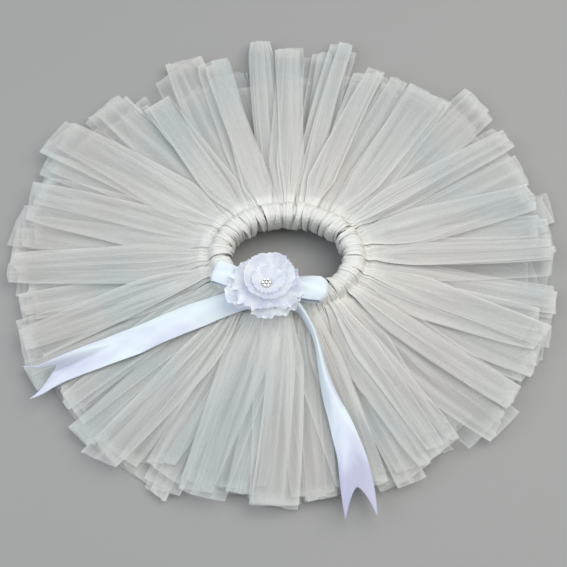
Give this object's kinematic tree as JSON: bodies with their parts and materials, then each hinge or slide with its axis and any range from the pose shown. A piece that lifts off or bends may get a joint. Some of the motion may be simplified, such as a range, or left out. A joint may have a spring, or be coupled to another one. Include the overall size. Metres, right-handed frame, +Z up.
{
  "type": "tutu skirt",
  "caption": "Child's no-sew tulle tutu skirt laid flat, with a gathered elastic waist, a satin bow with long tails and a chiffon flower.",
  "frame": {"origin": "middle of the footprint on the surface that the skirt lies on", "axes": "+Z up from the surface, -Y towards the front of the skirt, where the bow and the flower are, +X to the viewer's right"},
  "size_m": [0.5934, 0.5642, 0.0781],
  "materials": {
    "tulle": "ivory-white nylon tulle net, sheer in single layers",
    "elastic": "flat white woven elastic",
    "ribbon_satin": "white satin ribbon with a soft sheen",
    "flower_chiffon": "white chiffon with singed edges",
    "jewel_metal": "silver-coloured plated setting",
    "jewel_stone": "clear cut glass stones"
  },
  "bodies": {
    "root": {"elastic_band": "elastic", "tulle_strip_01": "tulle", "tulle_strip_02": "tulle", "tulle_strip_03": "tulle", "tulle_strip_04": "tulle", "tulle_strip_05": "tulle", "tulle_strip_06": "tulle", "tulle_strip_07": "tulle", "tulle_strip_08": "tulle", "tulle_strip_09": "tulle", "tulle_strip_10": "tulle", "tulle_strip_11": "tulle", "tulle_strip_12": "tulle", "tulle_strip_13": "tulle", "tulle_strip_14": "tulle", "tulle_strip_15": "tulle", "tulle_strip_16": "tulle", "tulle_strip_17": "tulle", "tulle_strip_18": "tulle", "tulle_strip_19": "tulle", "tulle_strip_20": "tulle", "tulle_strip_21": "tulle", "tulle_strip_22": "tulle", "tulle_strip_23": "tulle", "tulle_strip_24": "tulle", "tulle_strip_25": "tulle", "tulle_strip_26": "tulle", "tulle_strip_27": "tulle", "tulle_strip_28": "tulle", "tulle_strip_29": "tulle", "tulle_strip_30": "tulle", "tulle_strip_31": "tulle", "tulle_strip_32": "tulle", "tulle_strip_33": "tulle", "tulle_strip_34": "tulle", "tulle_strip_35": "tulle", "tulle_strip_36": "tulle", "tulle_strip_37": "tulle", "tulle_strip_38": "tulle", "tulle_strip_39": "tulle", "tulle_strip_40": "tulle", "bow_knot": "ribbon_satin", "bow_loop_left": "ribbon_satin", "bow_loop_right": "ribbon_satin", "ribbon_tail_left": "ribbon_satin", "ribbon_tail_right": "ribbon_satin", "petals_outer": "flower_chiffon", "petals_second": "flower_chiffon", "petals_cup": "flower_chiffon", "petals_heart": "flower_chiffon", "jewel_setting": "jewel_metal", "jewel_stone_middle": "jewel_stone", "jewel_stone_1": "jewel_stone", "jewel_stone_2": "jewel_stone", "jewel_stone_3": "jewel_stone", "jewel_stone_4": "jewel_stone", "jewel_stone_5": "jewel_stone", "jewel_stone_6": "jewel_stone"}
  },
  "joints": []
}
